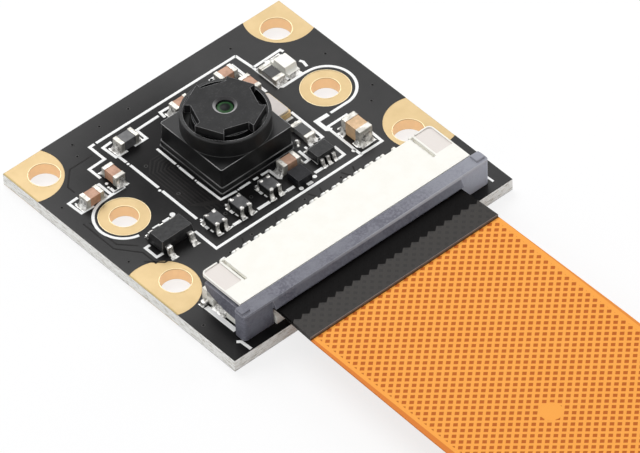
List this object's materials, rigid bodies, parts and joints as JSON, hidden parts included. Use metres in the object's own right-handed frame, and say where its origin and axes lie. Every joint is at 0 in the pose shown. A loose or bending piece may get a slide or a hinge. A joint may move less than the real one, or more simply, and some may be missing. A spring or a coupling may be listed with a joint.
{
  "type": "camera module",
  "caption": "Fixed-focus camera on a small square board, with corner screw holes, side terminal rings, a sliding latch connector and a flat flexible cable",
  "frame": {"origin": "Centre of the circuit board's underside.", "axes": "+Z is the way the lens looks, +X runs along the cable connector, and the cable leaves towards -Y."},
  "size_m": [0.025, 0.169, 0.0051],
  "materials": {
    "board": "black solder mask over glass-fibre laminate, semi-gloss",
    "gold": "gold plating, satin",
    "lens_black": "fine moulded texture",
    "optics": "coated, clear",
    "silicon": "polished silicon",
    "housing_white": "moulded, satin",
    "tinned_metal": "tinned, satin",
    "latch_grey": "glass-filled moulding, matte",
    "amber_film": "polyimide film, semi-gloss",
    "black_film": "film, satin",
    "ceramic": "fired ceramic with tinned ends",
    "chip_black": "moulding compound, matte",
    "lamp_white": "clear resin over a pale carrier",
    "ceramic_pale": "fired ceramic"
  },
  "bodies": {
    "module": {"circuit_board": "board", "mounting_pads": "gold", "terminal_rings": "gold", "lens_holder": "lens_black", "lens_barrel": "lens_black", "front_lens": "optics", "middle_lens": "optics", "rear_lens": "optics", "lens_spacers": "lens_black", "infrared_filter": "optics", "image_sensor": "silicon", "connector_housing": "housing_white", "connector_contacts": "tinned_metal", "connector_nails": "tinned_metal", "flex_cable": "amber_film", "cable_stiffener_near": "black_film", "cable_stiffener_far": "black_film", "cable_fingers_near": "gold", "cable_fingers_far": "gold", "capacitor_1": "ceramic", "capacitor_2": "ceramic", "capacitor_3": "ceramic", "capacitor_4": "ceramic", "capacitor_5": "ceramic", "capacitor_6": "ceramic", "reservoir_capacitor": "ceramic", "lamp_resistor": "chip_black", "bus_resistor": "chip_black", "ferrite_bead": "chip_black", "indicator_lamp": "lamp_white", "crystal_tray": "ceramic_pale", "crystal_lid": "gold", "regulator": "chip_black", "regulator_leads": "tinned_metal", "bus_driver": "chip_black", "bus_driver_leads": "tinned_metal", "clock_buffer": "chip_black", "line_choke_1": "chip_black", "line_choke_2": "chip_black", "line_choke_3": "chip_black", "choke_terminals": "tinned_metal"},
    "latch": {"connector_latch": "latch_grey"}
  },
  "joints": [
    {"name": "latch_slide", "type": "slide", "parent": "module", "child": "latch", "axis": [0, -1, 0], "range_m": [0, 0.0015]}
  ]
}
